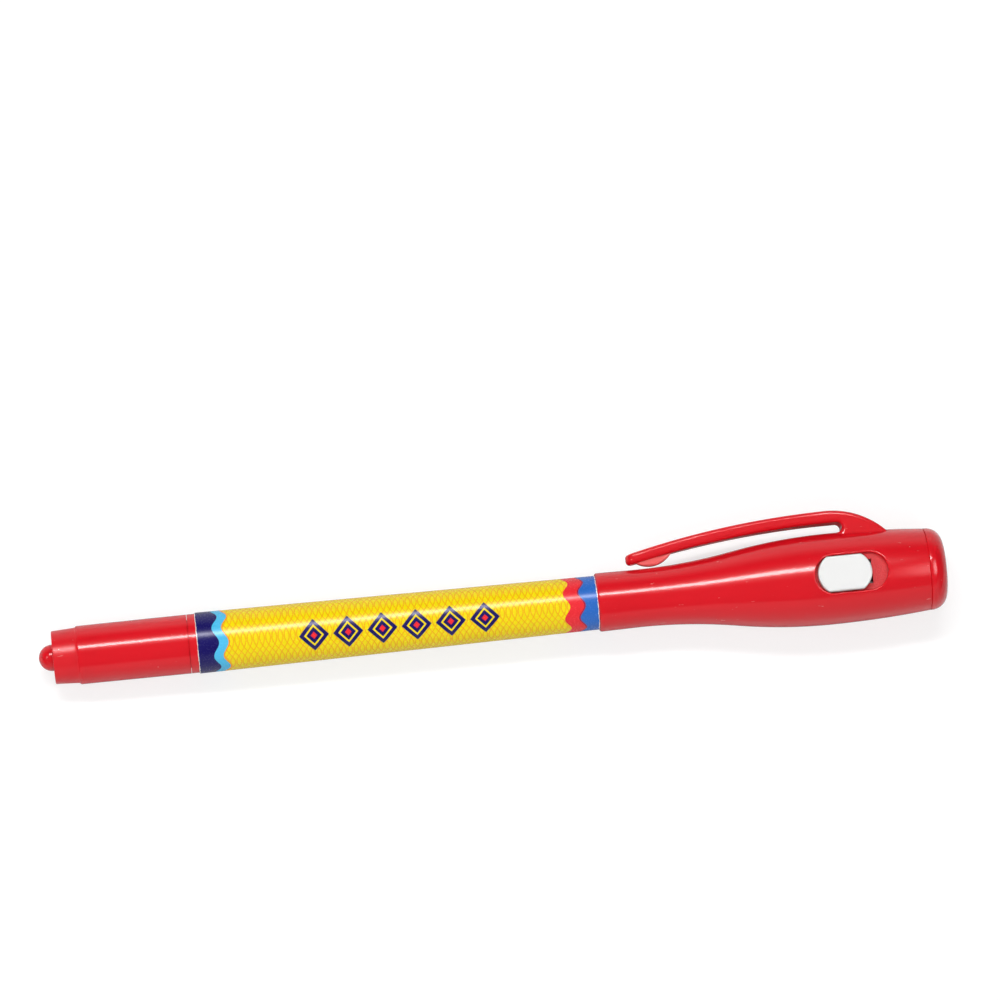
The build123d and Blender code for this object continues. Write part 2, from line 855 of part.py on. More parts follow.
# Battery holder: trough open downwards for the cells, a ledge, and an end wall for the lamp
def battery_holder():
    holder = tube(x_holder_front, x_holder_rear, holder_radius, holder_bore)
    holder += rod(x_holder_front, x_tab, holder_radius)
    x_ledge = x_contact + strip_thickness + seam_gap
    holder += tube(x_ledge, x_ledge + holder_ledge, holder_radius, holder_ledge_radius)
    holder += rod(x_holder_rear - holder_end, x_holder_rear, holder_radius)
    reach = 2 * holder_radius
    holder -= bar((x_tab, x_contact + strip_thickness), (-reach, reach), (-reach, -holder_mouth_depth))
    y_clear = stem_width / 2 + barb_reach + running_gap
    x_to = x_stem_rear + switch_travel + lead_width + running_gap
    holder -= bar((x_contact, x_to), (-y_clear, y_clear), (z_pad - lead_width - running_gap, reach))
    for run in strip_runs():
        holder -= bar(*grown(run, running_gap))
    for side in (anode_side, cathode_side):
        holder -= bar(*grown(((x_ledge, x_led_base), side, lead_height), running_gap))
    return holder


save("barrel", barrel())
save("barrel_label", barrel_label())
save("nib_cap", nib_cap())
save("nib_section", nib_section())
save("nib", nib())
save("ink_reservoir", ink_reservoir())
save("reservoir_film", reservoir_film())
save("head_shell", head_shell())
save("end_bezel", end_bezel())
save("switch_slider", switch_slider())
save("switch_contact", switch_contact())
for number in range(cell_count):
    x_cell = x_cells_front + number * cell_height
    save(f"button_cell_{number + 1}_can", cell_can(x_cell))
    save(f"button_cell_{number + 1}_seal", cell_seal_ring(x_cell))
    save(f"button_cell_{number + 1}_cap", cell_cap(x_cell))
save("battery_spring", battery_spring())
save("return_strip", return_strip())
save("positive_contact", positive_contact())
save("battery_holder", battery_holder())
anode = led_anode_lead()
cathode = led_cathode_lead()
save("led_anode_lead", anode)
save("led_cathode_lead", cathode)
save("led_lens", led_lens([anode, cathode]))

spots = [spring_point(turn / 60) for turn in range(60 * spring_turns + 1)]
turns_gap = min(
    dist(tuple(a), tuple(b)) for i, a in enumerate(spots) for b in spots[i + 40 :]
)
print(f"least gap between spring turns {turns_gap - spring_wire:.2f}")
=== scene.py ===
from math import cos, pi, radians, sin

import bmesh
import bpy
from mathutils import Matrix, Vector


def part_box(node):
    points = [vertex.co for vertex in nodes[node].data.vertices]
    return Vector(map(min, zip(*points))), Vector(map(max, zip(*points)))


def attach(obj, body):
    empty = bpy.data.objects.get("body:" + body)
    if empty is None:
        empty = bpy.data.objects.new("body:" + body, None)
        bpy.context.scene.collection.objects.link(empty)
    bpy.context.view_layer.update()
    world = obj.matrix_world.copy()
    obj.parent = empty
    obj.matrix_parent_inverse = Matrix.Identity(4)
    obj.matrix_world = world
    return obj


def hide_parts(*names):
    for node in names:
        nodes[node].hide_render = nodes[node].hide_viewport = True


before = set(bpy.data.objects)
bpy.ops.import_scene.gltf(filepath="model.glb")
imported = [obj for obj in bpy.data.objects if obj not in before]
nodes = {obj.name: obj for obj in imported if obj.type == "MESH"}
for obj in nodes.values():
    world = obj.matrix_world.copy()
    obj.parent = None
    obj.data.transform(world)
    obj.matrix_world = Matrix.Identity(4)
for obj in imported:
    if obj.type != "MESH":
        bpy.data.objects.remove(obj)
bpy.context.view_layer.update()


# Barrel: the tube that carries everything, injection moulded in red ABS, with a neck for
# the cap and a spigot for the head. Only a narrow collar of it shows. Moulded ABS is glossy under
# a faint haze, with a slight orange peel, hairlines and scuffs from packing and a little dust.
mm = 0.001
rgba = {"data_type": "RGBA"}


def linear(colour):
    """Linear colour for a socket, from an sRGB hex value."""
    shares = [int(colour[i : i + 2], 16) / 255 for i in (1, 3, 5)]
    return (*(s / 12.92 if s <= 0.04045 else ((s + 0.055) / 1.055) ** 2.4 for s in shares), 1.0)


def add(tree, kind, settings=None, out=0, **inputs):
    """Adds a node and gives one of its outputs.

    Inputs are values or sockets, by name with _ for a space, or by place as _0, _1 and so on.
    """
    node = tree.nodes.new("ShaderNode" + kind)
    for name, value in (settings or {}).items():
        setattr(node, name, value)
    for name, value in inputs.items():
        socket = node.inputs[int(name[1:]) if name[0] == "_" else name.replace("_", " ")]
        if isinstance(value, bpy.types.NodeSocket):
            tree.links.new(value, socket)
        else:
            socket.default_value = value
    return node.outputs[out]


def new_material(name, **values):
    """Material with its tree and its shader, whose constant values are set here."""
    material = bpy.data.materials.new(name)
    material.use_nodes = True
    shader = material.node_tree.nodes["Principled BSDF"]
    for socket, value in values.items():
        shader.inputs[socket.replace("_", " ")].default_value = value
    return material, material.node_tree, shader


def wire(tree, shader, **patterns):
    """Links patterns to the shader's sockets, named with _ for a space."""
    for socket, pattern in patterns.items():
        tree.links.new(pattern, shader.inputs[socket.replace("_", " ")])


def dress(material, *names):
    """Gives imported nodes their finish."""
    for name in names:
        for slot in nodes[name].material_slots:
            slot.material = material


def within(tree, place, low, high):
    """Mask that is 1 inside a box and 0 outside it."""
    mask = 1.0
    for axis, start, end in zip("XYZ", low, high):
        along = add(tree, "SeparateXYZ", out=axis, Vector=place)
        middle = (start + end) / 2
        reach = (end - start) / 2
        near = add(tree, "Math", {"operation": "COMPARE"}, _0=along, _1=middle, _2=reach)
        mask = add(tree, "Math", {"operation": "MULTIPLY"}, _0=mask, _1=near)
    return mask


def red_abs(name, matt=None, eroded=None, thin=None):
    """Glossy red ABS. Boxes of space mark a matt stretch, an eroded floor and a thin web.

    The web is painted paler, as painted light for the light that a thin web lets through. Dust,
    hairlines and grit are finer on a real pen, and are drawn as coarse as they need to show.
    """
    red = "#D20F1C"
    bright_red = "#DC1422"
    rubbed_red = "#F0B4AC"
    gritty_red = "#C43C3E"
    web_painted_light_red = "#F07472"
    haze = {"Coat_Weight": 0.12, "Coat_Roughness": 0.33}
    cloud_size = 14 * mm
    dust_spacing = 2.6 * mm
    dust_radius = 0.09 * mm
    dust_cover = 0.75
    scuff_length = 1.8 * mm
    scuff_width = 0.45 * mm
    scuff_turn = radians(25)
    scuff_from = 0.71
    scuff_full = 0.8
    scuff_cover = 0.6
    hair_length = 9 * mm
    hair_width = 0.12 * mm
    hair_from = 0.5
    hair_full = 0.8
    polished = 0.13
    scratched = 0.17
    peel_size = 1.6 * mm
    peel_depth = 0.0012 * mm
    matt_rise = 0.16
    grit_size = 0.2 * mm
    grit_depth = 0.09 * mm
    grit_rise = 0.4
    web_painted_light_share = 0.8
    material, tree, shader = new_material(name, IOR=1.53, Specular_IOR_Level=0.24, **haze)
    place = add(tree, "TexCoord", out="Object")
    cloud = add(tree, "TexNoise", Vector=place, Scale=1 / cloud_size, Detail=3.0)
    colour = add(tree, "Mix", rgba, out=2, _0=cloud, _6=linear(red), _7=linear(bright_red))
    dust = add(tree, "TexVoronoi", Vector=place, Scale=1 / dust_spacing)
    edge = dust_radius / dust_spacing
    limits = {"From_Min": edge / 2, "From_Max": edge, "To_Min": dust_cover, "To_Max": 0.0}
    speck = add(tree, "MapRange", Value=dust, **limits)
    colour = add(tree, "Mix", rgba, out=2, _0=speck, _6=colour, _7=linear(rubbed_red))
    scuff_scale = (1 / scuff_length, 1 / scuff_width, 1 / scuff_width)
    rubbed = add(tree, "Mapping", Vector=place, Rotation=(0, 0, scuff_turn), Scale=scuff_scale)
    rubs = add(tree, "TexNoise", Vector=rubbed, Scale=1.0, Detail=3.0)
    limits = {"From_Min": scuff_from, "From_Max": scuff_full, "To_Min": 0.0, "To_Max": scuff_cover}
    scuff = add(tree, "MapRange", Value=rubs, **limits)
    colour = add(tree, "Mix", rgba, out=2, _0=scuff, _6=colour, _7=linear(rubbed_red))
    hair_scale = (1 / hair_length, 1 / hair_width, 1 / hair_width)
    drawn = add(tree, "Mapping", Vector=place, Scale=hair_scale)
    hair = add(tree, "TexNoise", Vector=drawn, Scale=1.0, Detail=2.0)
    limits = {"From_Min": hair_from, "From_Max": hair_full, "To_Min": polished, "To_Max": scratched}
    rough = add(tree, "MapRange", Value=hair, **limits)
    peel = add(tree, "TexNoise", Vector=place, Scale=1 / peel_size, Detail=1.0)
    normal = add(tree, "Bump", Strength=1.0, Distance=peel_depth, Height=peel)
    if matt:
        dull = within(tree, place, *matt)
        rough = add(tree, "Math", {"operation": "MULTIPLY_ADD"}, _0=dull, _1=matt_rise, _2=rough)
    if eroded:
        floor = within(tree, place, *eroded)
        grit = add(tree, "TexNoise", Vector=place, Scale=1 / grit_size, Detail=2.0)
        height = add(tree, "Math", {"operation": "MULTIPLY"}, _0=grit, _1=floor)
        normal = add(tree, "Bump", Strength=1.0, Distance=grit_depth, Height=height, Normal=normal)
        rough = add(tree, "Math", {"operation": "MULTIPLY_ADD"}, _0=floor, _1=grit_rise, _2=rough)
        colour = add(tree, "Mix", rgba, out=2, _0=height, _6=colour, _7=linear(gritty_red))
    if thin:
        # Painted light: the web is painted paler, in place of light shining through it.
        web = within(tree, place, *thin)
        web = add(tree, "Math", {"operation": "MULTIPLY"}, _0=web, _1=web_painted_light_share)
        colour = add(tree, "Mix", rgba, out=2, _0=web, _6=colour, _7=linear(web_painted_light_red))
    wire(tree, shader, Base_Color=colour, Roughness=rough, Normal=normal)
    return material


dress(red_abs("moulded_red_abs"), "barrel")


# Ink reservoir: a rod of crimped polyester fibre in a clear film, pushed into the barrel.
# The fibres lie along the rod, so it looks combed and quite dull. The film is smooth and thin.
noise_low = 0.3  # almost all of a noise lies between these two
noise_high = 0.7


def fibre(name, pale, dark, thread, length):
    """Bundle of fibres along X, thread across and about length long before they wander.

    Real fibres are some 0.02 mm thick, and are drawn as coarse as they need to show.
    """
    material, tree, shader = new_material(name, Roughness=0.9, IOR=1.45)
    place = add(tree, "TexCoord", out="Object")
    combed = add(tree, "Mapping", Vector=place, Scale=(1 / length, 1 / thread, 1 / thread))
    strands = add(tree, "TexNoise", Vector=combed, Scale=1.0, Detail=4.0)
    colour = add(tree, "Mix", rgba, out=2, _0=strands, _6=linear(dark), _7=linear(pale))
    normal = add(tree, "Bump", Strength=0.8, Distance=thread / 2, Height=strands)
    wire(tree, shader, Base_Color=colour, Normal=normal)
    return material


def clear_plastic(name, colour, see_through, ior, ripple, depth):
    """Clear or milky plastic with a slow ripple in its surface."""
    smooth = 0.03
    dull = 0.08
    material, tree, shader = new_material(name, IOR=ior, Transmission_Weight=see_through)
    place = add(tree, "TexCoord", out="Object")
    waves = add(tree, "TexNoise", Vector=place, Scale=1 / ripple, Detail=1.0)
    tint = add(tree, "Mix", rgba, out=2, _0=waves, _6=linear(colour), _7=linear("#FFFFFF"))
    limits = {"From_Min": noise_low, "From_Max": noise_high, "To_Min": smooth, "To_Max": dull}
    rough = add(tree, "MapRange", Value=waves, **limits)
    normal = add(tree, "Bump", Strength=0.5, Distance=depth, Height=waves)
    wire(tree, shader, Base_Color=tint, Roughness=rough, Normal=normal)
    return material


polyester = fibre("polyester_fibre", "#F6F5F0", "#CFCDC6", 0.12 * mm, 4 * mm)
film = clear_plastic("polypropylene_film", "#E9EEF2", 0.75, 1.49, 1.5 * mm, 0.01 * mm)
dress(polyester, "ink_reservoir")
dress(film, "reservoir_film")


# Nib section and nib: a white polypropylene plug pressed into the neck holds a rod of acrylic
# fibre, ground to a bullet point. Polypropylene moulds satin and slightly waxy, and the ground
# fibre is dull.
def satin_plastic(name, colour, shade, grain, depth, roughness):
    """Opaque plastic from a finely eroded mould: an even satin with a fine grain."""
    cloud_size = 5 * mm
    spread = 0.05
    material, tree, shader = new_material(name, IOR=1.5)
    place = add(tree, "TexCoord", out="Object")
    grit = add(tree, "TexNoise", Vector=place, Scale=1 / grain, Detail=2.0)
    cloud = add(tree, "TexNoise", Vector=place, Scale=1 / cloud_size, Detail=2.0)
    tint = add(tree, "Mix", rgba, out=2, _0=cloud, _6=linear(shade), _7=linear(colour))
    smooth = roughness - spread
    dull = roughness + spread
    limits = {"From_Min": noise_low, "From_Max": noise_high, "To_Min": smooth, "To_Max": dull}
    rough = add(tree, "MapRange", Value=grit, **limits)
    normal = add(tree, "Bump", Strength=0.6, Distance=depth, Height=grit)
    wire(tree, shader, Base_Color=tint, Roughness=rough, Normal=normal)
    return material


plug = satin_plastic("white_polypropylene", "#F4F4F0", "#E8E8E2", 0.2 * mm, 0.004 * mm, 0.38)
dress(plug, "nib_section")
dress(fibre("acrylic_fibre", "#F3F1E8", "#BDB9AC", 0.06 * mm, 2.5 * mm), "nib")


# Barrel label: one sheet of coated paper, printed in bright inks under a satin varnish and
# wrapped round the barrel, with its free edge lapped over the start on the pen's back.
# Where it was cut the white paper shows. The print is a plain ornament of bands and lozenges.
label_low, label_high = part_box("barrel_label")
label_length = label_high.x - label_low.x
paper = 0.13 * mm
glue = 0.02 * mm
barrel_front_radius = 4.31 * mm
barrel_rear_radius = 3.80 * mm
lap_start = radians(252)
lap_turn = radians(29)
lap_rise = radians(7)
cut_waver = 0.035 * mm
front_phase = 0.4
rear_phase = 2.1
print_unit = 0.1


def label_radius(along, turn):
    """Inside of the paper, at a share of the label's length and a turn from its first edge."""
    barrel = barrel_front_radius + (barrel_rear_radius - barrel_front_radius) * along
    climb = min(max((turn - 2 * pi + lap_rise) / lap_rise, 0.0), 1.0)
    return barrel + glue + paper * climb * climb * (3 - 2 * climb)


def cut_edge(turn, phase):
    """How far the cut wanders at a turn: a slow wave, a quicker one and a fine one."""
    slow = sin(9 * turn + phase)
    quick = 0.6 * sin(31 * turn + 2 * phase)
    fine = 0.4 * sin(77 * turn)
    return cut_waver * (slow + quick + fine) / 2


def label_mesh():
    """Sheet with a printed outside, a plain inside and cut edges, which take the second material.

    The wander of each cut dies out over a quarter of the length.
    """
    steps_along = 16
    steps_round = 420
    sheet = bmesh.new()
    uv = sheet.loops.layers.uv.new("print")
    whole = 2 * pi + lap_turn
    mean_radius = (barrel_front_radius + barrel_rear_radius) / 2
    places = {}
    grids = []
    for lift in (paper, 0.0):
        grid = []
        for j in range(steps_round + 1):
            turn = whole * j / steps_round
            row = []
            for i in range(steps_along + 1):
                along = i / steps_along
                x = label_low.x + label_length * along
                x += cut_edge(turn, front_phase) * max(0.0, 1 - 4 * along)
                x -= cut_edge(turn, rear_phase) * max(0.0, 4 * along - 3)
                radius = label_radius(along, turn) + lift
                angle = lap_start + turn
                vertex = sheet.verts.new((x, radius * cos(angle), radius * sin(angle)))
                places[vertex] = ((x - label_low.x) / print_unit, mean_radius * turn / print_unit)
                row.append(vertex)
            grid.append(row)
        grids.append(grid)
    outer, inner = grids
    for j in range(steps_round):
        for i in range(steps_along):
            top = (outer[j][i], outer[j][i + 1], outer[j + 1][i + 1], outer[j + 1][i])
            back = (inner[j][i], inner[j + 1][i], inner[j + 1][i + 1], inner[j][i + 1])
            sheet.faces.new(top)
            sheet.faces.new(back)
    cut = []
    last = steps_along
    for j in range(steps_round):
        front = (outer[j][0], outer[j + 1][0], inner[j + 1][0], inner[j][0])
        rear = (outer[j][last], inner[j][last], inner[j + 1][last], outer[j + 1][last])
        cut.append(sheet.faces.new(front))
        cut.append(sheet.faces.new(rear))
    for i in range(steps_along):
        start = (outer[0][i], inner[0][i], inner[0][i + 1], outer[0][i + 1])
        end = (outer[-1][i], outer[-1][i + 1], inner[-1][i + 1], inner[-1][i])
        cut.append(sheet.faces.new(start))
        cut.append(sheet.faces.new(end))
    bmesh.ops.recalc_face_normals(sheet, faces=sheet.faces)
    for face in sheet.faces:
        face.smooth = face not in cut
        for loop in face.loops:
            loop[uv].uv = places[loop.vert]
    for face in cut:
        face.material_index = 1
        for edge in face.edges:
            edge.smooth = False
    mesh = bpy.data.meshes.new("barrel_label_wrap")
    sheet.to_mesh(mesh)
    sheet.free()
    return mesh


def printed_paper(name):
    """Printed face: bands at both ends, a lattice of fine waves and a row of lozenges.

    Sizes of the print are in mm. Paper fibres are finer, and are drawn as coarse as they need
    to show. Chips of ink are missing along both cuts.
    """
    navy = "#17105E"
    sky_blue = "#4FC0EE"
    orange = "#F59A1E"
    yellow = "#F6DF00"
    pale_yellow = "#FFE100"
    line_orange = "#F2AA0A"
    red = "#EE2A35"
    plum = "#A01E3C"
    blue = "#2C6BC4"
    bare_paper = "#F4EFEA"
    wave_depth = 0.45
    wave_length = 3.9
    lattice_depth = 0.8
    lattice_length = 6.5
    lattice_spacing = 0.9
    line_core = 0.045
    line_rim = 0.105
    lozenge_first = 17.0
    lozenge_pitch = 5.0
    lozenge_count = 6
    lozenge_width = 2.2
    lozenge_height = 2.3
    lozenge_blur = 0.02
    lozenges = ((1.0, navy), (0.66, pale_yellow), (0.52, navy), (0.22, red))
    row_middle = 15.0
    fibre_size = 0.25 * mm
    fibre_depth = 0.006 * mm
    fibre_dim = 0.93
    varnished = 0.2
    worn_varnish = 0.3
    chip_size = 0.35 * mm
    chip_reach = 0.3
    chip_least = -0.06
    ends = label_length / mm
    bands = [
        (0.0, navy, 0),
        (2.6, sky_blue, 0),
        (4.0, orange, 0),
        (4.25, yellow, 1),
        (ends - 4.6, red, 0),
        (ends - 2.6, plum, 0),
        (ends - 2.35, blue, 0),
    ]
    material, tree, shader = new_material(name, IOR=1.5, Specular_IOR_Level=0.24)
    uv = add(tree, "UVMap", {"uv_map": "print"})
    scale = print_unit / mm
    u = add(tree, "SeparateXYZ", out="X", Vector=uv)
    v = add(tree, "SeparateXYZ", out="Y", Vector=uv)
    u = add(tree, "Math", {"operation": "MULTIPLY"}, _0=u, _1=scale)
    v = add(tree, "Math", {"operation": "MULTIPLY"}, _0=v, _1=scale)

    wave = add(tree, "Math", {"operation": "MULTIPLY"}, _0=v, _1=2 * pi / wave_length)
    wave = add(tree, "Math", {"operation": "SINE"}, _0=wave)
    waved = add(tree, "Math", {"operation": "MULTIPLY_ADD"}, _0=wave, _1=wave_depth, _2=u)
    share = add(tree, "Math", {"operation": "DIVIDE"}, _0=waved, _1=ends)
    colour = add(tree, "ValToRGB", Fac=share)
    ramp = colour.node.color_ramp
    ramp.interpolation = "CONSTANT"
    while len(ramp.elements) < len(bands):
        ramp.elements.new(1.0)
    for stop, (start, shade, latticed) in zip(ramp.elements, bands):
        stop.position = start / ends
        stop.color = (*linear(shade)[:3], latticed)
    field = colour.node.outputs["Alpha"]

    swing = add(tree, "Math", {"operation": "MULTIPLY"}, _0=v, _1=2 * pi / lattice_length)
    swing = add(tree, "Math", {"operation": "SINE"}, _0=swing)
    limits = {"From_Min": line_core, "From_Max": line_rim, "To_Min": 1.0, "To_Max": 0.0}
    ways = []
    for depth in (lattice_depth, -lattice_depth):
        bent = add(tree, "Math", {"operation": "MULTIPLY_ADD"}, _0=swing, _1=depth, _2=u)
        near = add(tree, "Math", {"operation": "PINGPONG"}, _0=bent, _1=lattice_spacing / 2)
        ways.append(add(tree, "MapRange", Value=near, **limits))
    lines = add(tree, "Math", {"operation": "MAXIMUM"}, _0=ways[0], _1=ways[1])
    lines = add(tree, "Math", {"operation": "MULTIPLY"}, _0=lines, _1=field)
    colour = add(tree, "Mix", rgba, out=2, _0=lines, _6=colour, _7=linear(line_orange))

    across = add(tree, "Math", {"operation": "SUBTRACT"}, _0=u, _1=lozenge_first)
    across = add(tree, "Math", {"operation": "PINGPONG"}, _0=across, _1=lozenge_pitch / 2)
    across = add(tree, "Math", {"operation": "DIVIDE"}, _0=across, _1=lozenge_width)
    up = add(tree, "Math", {"operation": "SUBTRACT"}, _0=v, _1=row_middle)
    up = add(tree, "Math", {"operation": "ABSOLUTE"}, _0=up)
    up = add(tree, "Math", {"operation": "DIVIDE"}, _0=up, _1=lozenge_height)
    reach = add(tree, "Math", {"operation": "ADD"}, _0=across, _1=up)
    row_half = lozenge_pitch * lozenge_count / 2
    row_centre = lozenge_first - lozenge_pitch / 2 + row_half
    in_row = add(tree, "Math", {"operation": "COMPARE"}, _0=u, _1=row_centre, _2=row_half)
    for size, shade in lozenges:
        core = size - lozenge_blur
        rim = size + lozenge_blur
        limits = {"From_Min": core, "From_Max": rim, "To_Min": 1.0, "To_Max": 0.0}
        inside = add(tree, "MapRange", Value=reach, **limits)
        inside = add(tree, "Math", {"operation": "MULTIPLY"}, _0=inside, _1=in_row)
        colour = add(tree, "Mix", rgba, out=2, _0=inside, _6=colour, _7=linear(shade))

    place = add(tree, "TexCoord", out="Object")
    chips = add(tree, "TexNoise", Vector=place, Scale=1 / chip_size, Detail=2.0)
    worn = add(tree, "Math", {"operation": "MULTIPLY_ADD"}, _0=chips, _1=chip_reach, _2=chip_least)
    far_gap = add(tree, "Math", {"operation": "SUBTRACT"}, _0=ends, _1=u)
    for gap in (u, far_gap):
        bare = add(tree, "Math", {"operation": "LESS_THAN"}, _0=gap, _1=worn)
        colour = add(tree, "Mix", rgba, out=2, _0=bare, _6=colour, _7=linear(bare_paper))
    fibres = add(tree, "TexNoise", Vector=place, Scale=1 / fibre_size, Detail=3.0)
    limits = {"From_Min": noise_low, "From_Max": noise_high, "To_Min": fibre_dim, "To_Max": 1.0}
    dim = add(tree, "MapRange", Value=fibres, **limits)
    multiply = {**rgba, "blend_type": "MULTIPLY"}
    colour = add(tree, "Mix", multiply, out=2, _0=1.0, _6=colour, _7=dim)
    limits = {"From_Min": noise_low, "From_Max": noise_high, "To_Min": varnished, "To_Max": worn_varnish}
    rough = add(tree, "MapRange", Value=fibres, **limits)
    normal = add(tree, "Bump", Strength=0.5, Distance=fibre_depth, Height=fibres)
    wire(tree, shader, Base_Color=colour, Roughness=rough, Normal=normal)
    return material


label = bpy.data.objects.new("barrel_label_wrap", label_mesh())
bpy.context.scene.collection.objects.link(label)
label.data.materials.append(printed_paper("varnished_printed_paper"))
label.data.materials.append(fibre("paper_core", "#FAF8F4", "#E4E0D8", 0.1 * mm, 0.1 * mm))
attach(label, "pen")
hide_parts("barrel_label")


# Nib cap: one red moulding that pushes over the neck, with a seal tube whose dome stands out
# of the nose. The nose was drawn dull by the mould's core ring, the rest is polished.
cap_low, cap_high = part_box("nib_cap")
cap_length = 19.8 * mm
nose_length = 3.6 * mm
nose_start = cap_high.x - cap_length
nose_end = nose_start + nose_length
nose_box = ((nose_start, cap_low.y, cap_low.z), (nose_end, cap_high.y, cap_high.z))
dress(red_abs("moulded_red_abs_cap", matt=nose_box), "nib_cap")


# Battery holder and cells: a black ABS trough with three button cells in a row, each a
# nickel-plated steel can crimped over a nylon ring and a steel cap. Drawn cans show fine rings.
def turned_metal(name, colour, shade, ring, smooth, dull):
    """Metal with fine rings about X, from drawing, turning or stamping.

    A wave texture of scale 1 has about three rings to the metre. Real rings are finer, and are
    drawn as coarse as they need to show.
    """
    rings_to_unit = 3
    smudge_size = 2 * mm
    ring_depth = 0.002 * mm
    mixed_high = 0.6
    material, tree, shader = new_material(name, Metallic=1.0)
    place = add(tree, "TexCoord", out="Object")
    rings = {"wave_type": "RINGS", "rings_direction": "X"}
    wander = {"Distortion": 1.5, "Detail": 3.0}
    scale = 1 / (rings_to_unit * ring)
    lathe = add(tree, "TexWave", rings, out="Fac", Vector=place, Scale=scale, **wander)
    smudge = add(tree, "TexNoise", Vector=place, Scale=1 / smudge_size, Detail=3.0)
    tint = add(tree, "Mix", rgba, out=2, _0=smudge, _6=linear(shade), _7=linear(colour))
    mixed = add(tree, "Math", {"operation": "MULTIPLY"}, _0=lathe, _1=smudge)
    limits = {"From_Min": 0.0, "From_Max": mixed_high, "To_Min": smooth, "To_Max": dull}
    rough = add(tree, "MapRange", Value=mixed, **limits)
    normal = add(tree, "Bump", Strength=0.3, Distance=ring_depth, Height=lathe)
    wire(tree, shader, Base_Color=tint, Roughness=rough, Normal=normal)
    return material


# The trough is an even dark satin and the nylon a grey one, as their eroded moulds left them.
trough = satin_plastic("black_abs", "#3A3B3D", "#2F3032", 0.25 * mm, 0.006 * mm, 0.42)
nylon = satin_plastic("nylon_seal", "#5C6063", "#505457", 0.15 * mm, 0.003 * mm, 0.4)
# Nickel over drawn steel is bright and slightly warm, with a few smudges.
nickel = turned_metal("nickel_plated_steel", "#D6D3CB", "#BFBBB2", 0.12 * mm, 0.18, 0.34)
dress(trough, "battery_holder")
for number in (1, 2, 3):
    dress(nickel, f"button_cell_{number}_can", f"button_cell_{number}_cap")
    dress(nylon, f"button_cell_{number}_seal")


# Spring, strips and contacts: hard-drawn steel wire wound to a cone, and brass strip blanked
# and bent, all held by grooves in the holder. Rolled brass keeps a faint lengthwise grain.
def rolled_metal(name, colour, shade, grain, run, smooth, dull):
    """Wire or strip with a grain along X from drawing or rolling, drawn coarse enough to show."""
    grain_depth = 0.003 * mm
    material, tree, shader = new_material(name, Metallic=1.0)
    place = add(tree, "TexCoord", out="Object")
    drawn = add(tree, "Mapping", Vector=place, Scale=(1 / run, 1 / grain, 1 / grain))
    lines = add(tree, "TexNoise", Vector=drawn, Scale=1.0, Detail=3.0)
    tint = add(tree, "Mix", rgba, out=2, _0=lines, _6=linear(shade), _7=linear(colour))
    limits = {"From_Min": noise_low, "From_Max": noise_high, "To_Min": smooth, "To_Max": dull}
    rough = add(tree, "MapRange", Value=lines, **limits)
    normal = add(tree, "Bump", Strength=0.3, Distance=grain_depth, Height=lines)
    wire(tree, shader, Base_Color=tint, Roughness=rough, Normal=normal)
    return material


# Bare drawn wire is grey and half bright, and brass a warm yellow that has begun to tarnish.
spring_wire = rolled_metal("hard_drawn_steel_wire", "#C4C3BF", "#9C9B97", 0.05 * mm, 1 * mm, 0.22, 0.36)
brass = rolled_metal("rolled_brass_strip", "#D9B45E", "#B98F3E", 0.08 * mm, 2 * mm, 0.2, 0.38)
dress(spring_wire, "battery_spring")
dress(brass, "return_strip", "positive_contact", "switch_contact")


# Lamp: a 5 mm LED. Two tinned steel leads, one ending in a cup with the chip and a gold bond
# wire to the other, are cast into clear epoxy. Cast epoxy is glass clear and very smooth.
anode_low, anode_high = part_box("led_anode_lead")
cathode_low, cathode_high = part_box("led_cathode_lead")
cup_depth = 0.45 * mm
chip_side = 0.34 * mm
chip_height = 0.16 * mm
pad_top = 1.15 * chip_height
wire_radius = 0.03 * mm
wire_crown = 0.75 * mm
# Dipped tin is a soft grey, a polished die glints violet, and drawn gold is bright.
tinned = rolled_metal("tinned_steel", "#CFCFCD", "#A9A9A6", 0.06 * mm, 1.5 * mm, 0.24, 0.4)
die = rolled_metal("gallium_nitride_die", "#8F7CC8", "#4B3F7A", 0.05 * mm, 0.05 * mm, 0.12, 0.25)
gold = rolled_metal("gold_bond_wire", "#F0C75A", "#D9A83C", 0.02 * mm, 0.5 * mm, 0.15, 0.25)
epoxy = clear_plastic("cast_epoxy", "#EDE8FF", 1.0, 1.54, 3 * mm, 0.002 * mm)
dress(tinned, "led_anode_lead", "led_cathode_lead")
dress(epoxy, "led_lens")


def piece(name, mesh_maker, material):
    """Links a new piece to the pen's fixed body."""
    mesh = bpy.data.meshes.new(name)
    shape = bmesh.new()
    mesh_maker(shape)
    bmesh.ops.recalc_face_normals(shape, faces=shape.faces)
    shape.to_mesh(mesh)
    shape.free()
    thing = bpy.data.objects.new(name, mesh)
    bpy.context.scene.collection.objects.link(thing)
    mesh.materials.append(material)
    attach(thing, "pen")


def chip_shape(shape):
    """Square die with a small bond pad on top."""
    cup_floor = cathode_high.x - cup_depth
    half = chip_side / 2
    pad_foot_half = 0.4 * half
    pad_top_half = 0.35 * half
    levels = ((0.0, half), (chip_height, half), (chip_height, pad_foot_half), (pad_top, pad_top_half))
    rings = []
    for rise, side in levels:
        corners = ((-side, -side), (side, -side), (side, side), (-side, side))
        rings.append([shape.verts.new((cup_floor + rise, y, z)) for y, z in corners])
    for low, high in zip(rings, rings[1:]):
        for k in range(4):
            shape.faces.new((low[k], low[k - 1], high[k - 1], high[k]))
    shape.faces.new(rings[0])
    shape.faces.new(rings[-1])


